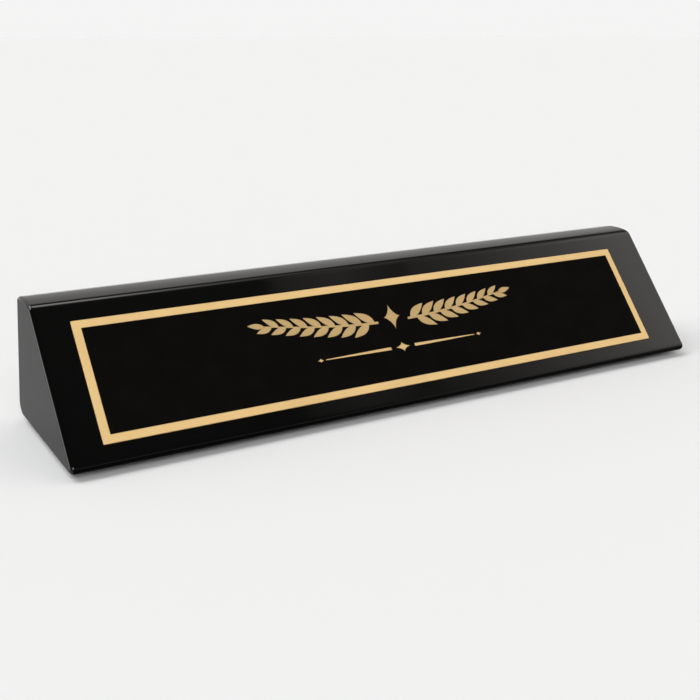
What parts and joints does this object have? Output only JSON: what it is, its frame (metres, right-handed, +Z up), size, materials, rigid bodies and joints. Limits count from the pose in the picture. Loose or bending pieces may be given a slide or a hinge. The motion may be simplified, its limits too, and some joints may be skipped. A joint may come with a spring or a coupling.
{
  "type": "desk name plate",
  "caption": "Wedge-shaped desk name plate: glossy black lacquered block with a slanted front that carries a black plate with a bare gold border, on stick-on rubber feet.",
  "frame": {"origin": "on the desk, under the middle of the block's footprint", "axes": "+X along the length, to the reader's right; +Y from the front towards the back; +Z up"},
  "size_m": [0.2666, 0.0652, 0.0492],
  "materials": {
    "black_lacquered_board": "high-gloss black polyester lacquer over board, polished",
    "satin_brass": "satin, gold coloured",
    "black_enamel": "satin black enamel",
    "clear_adhesive": "pressure-sensitive adhesive film",
    "black_rubber": "matte, moulded"
  },
  "bodies": {
    "root": {"wedge_block": "black_lacquered_board", "plate_adhesive": "clear_adhesive", "brass_plate": "satin_brass", "black_field": "black_enamel", "foot_front_left": "black_rubber", "foot_front_right": "black_rubber", "foot_back_left": "black_rubber", "foot_back_right": "black_rubber", "foot_adhesive_front_left": "clear_adhesive", "foot_adhesive_front_right": "clear_adhesive", "foot_adhesive_back_left": "clear_adhesive", "foot_adhesive_back_right": "clear_adhesive"}
  },
  "joints": []
}
